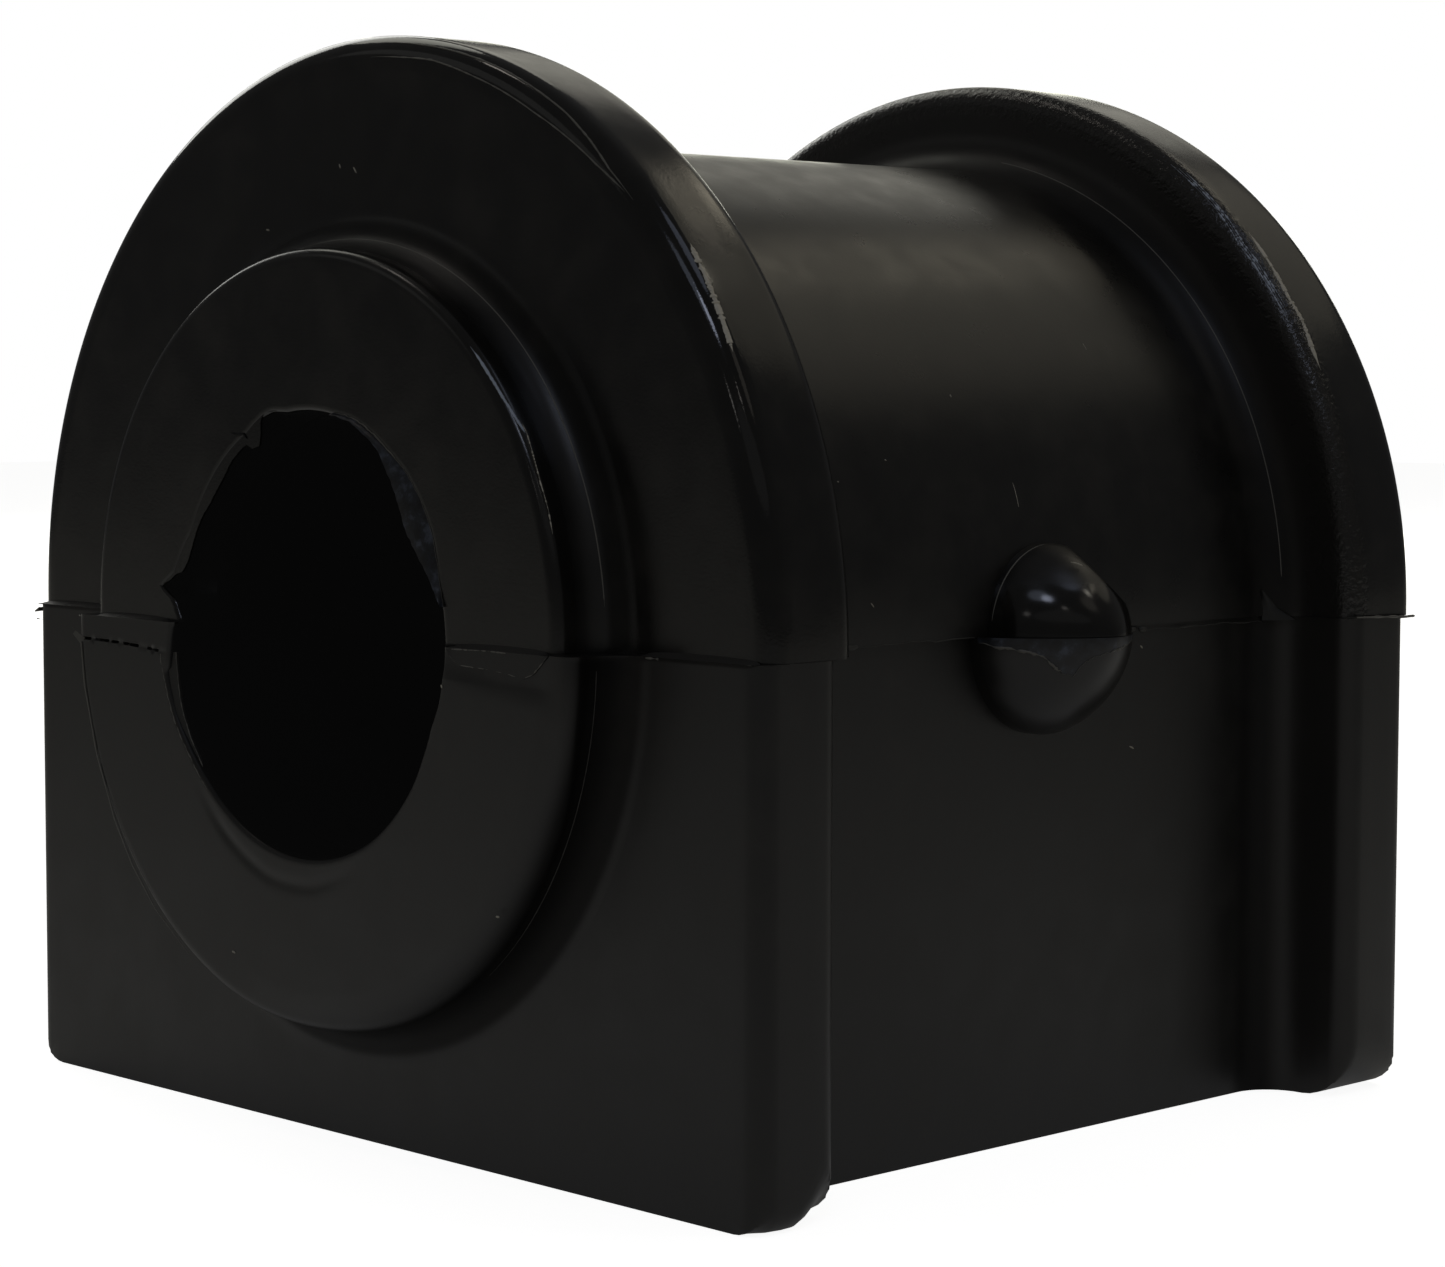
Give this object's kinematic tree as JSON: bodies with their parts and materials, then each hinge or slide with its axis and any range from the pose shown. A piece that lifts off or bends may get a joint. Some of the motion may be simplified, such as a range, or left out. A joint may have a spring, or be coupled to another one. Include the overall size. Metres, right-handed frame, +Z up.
{
  "type": "sway bar bushing",
  "caption": "Moulded rubber bushing that holds a vehicle's stabiliser bar in its bracket, with flanges, round collars, a side nub and a slit",
  "frame": {"origin": "on the bore axis, at mid length", "axes": "+Y along the bore, +Z up through the arched top, +X out through the locating nub; the flat base faces -Z"},
  "size_m": [0.0756, 0.0716, 0.0705],
  "materials": {
    "rubber": "satin, as moulded"
  },
  "bodies": {
    "root": {"bushing": "rubber"}
  },
  "joints": []
}
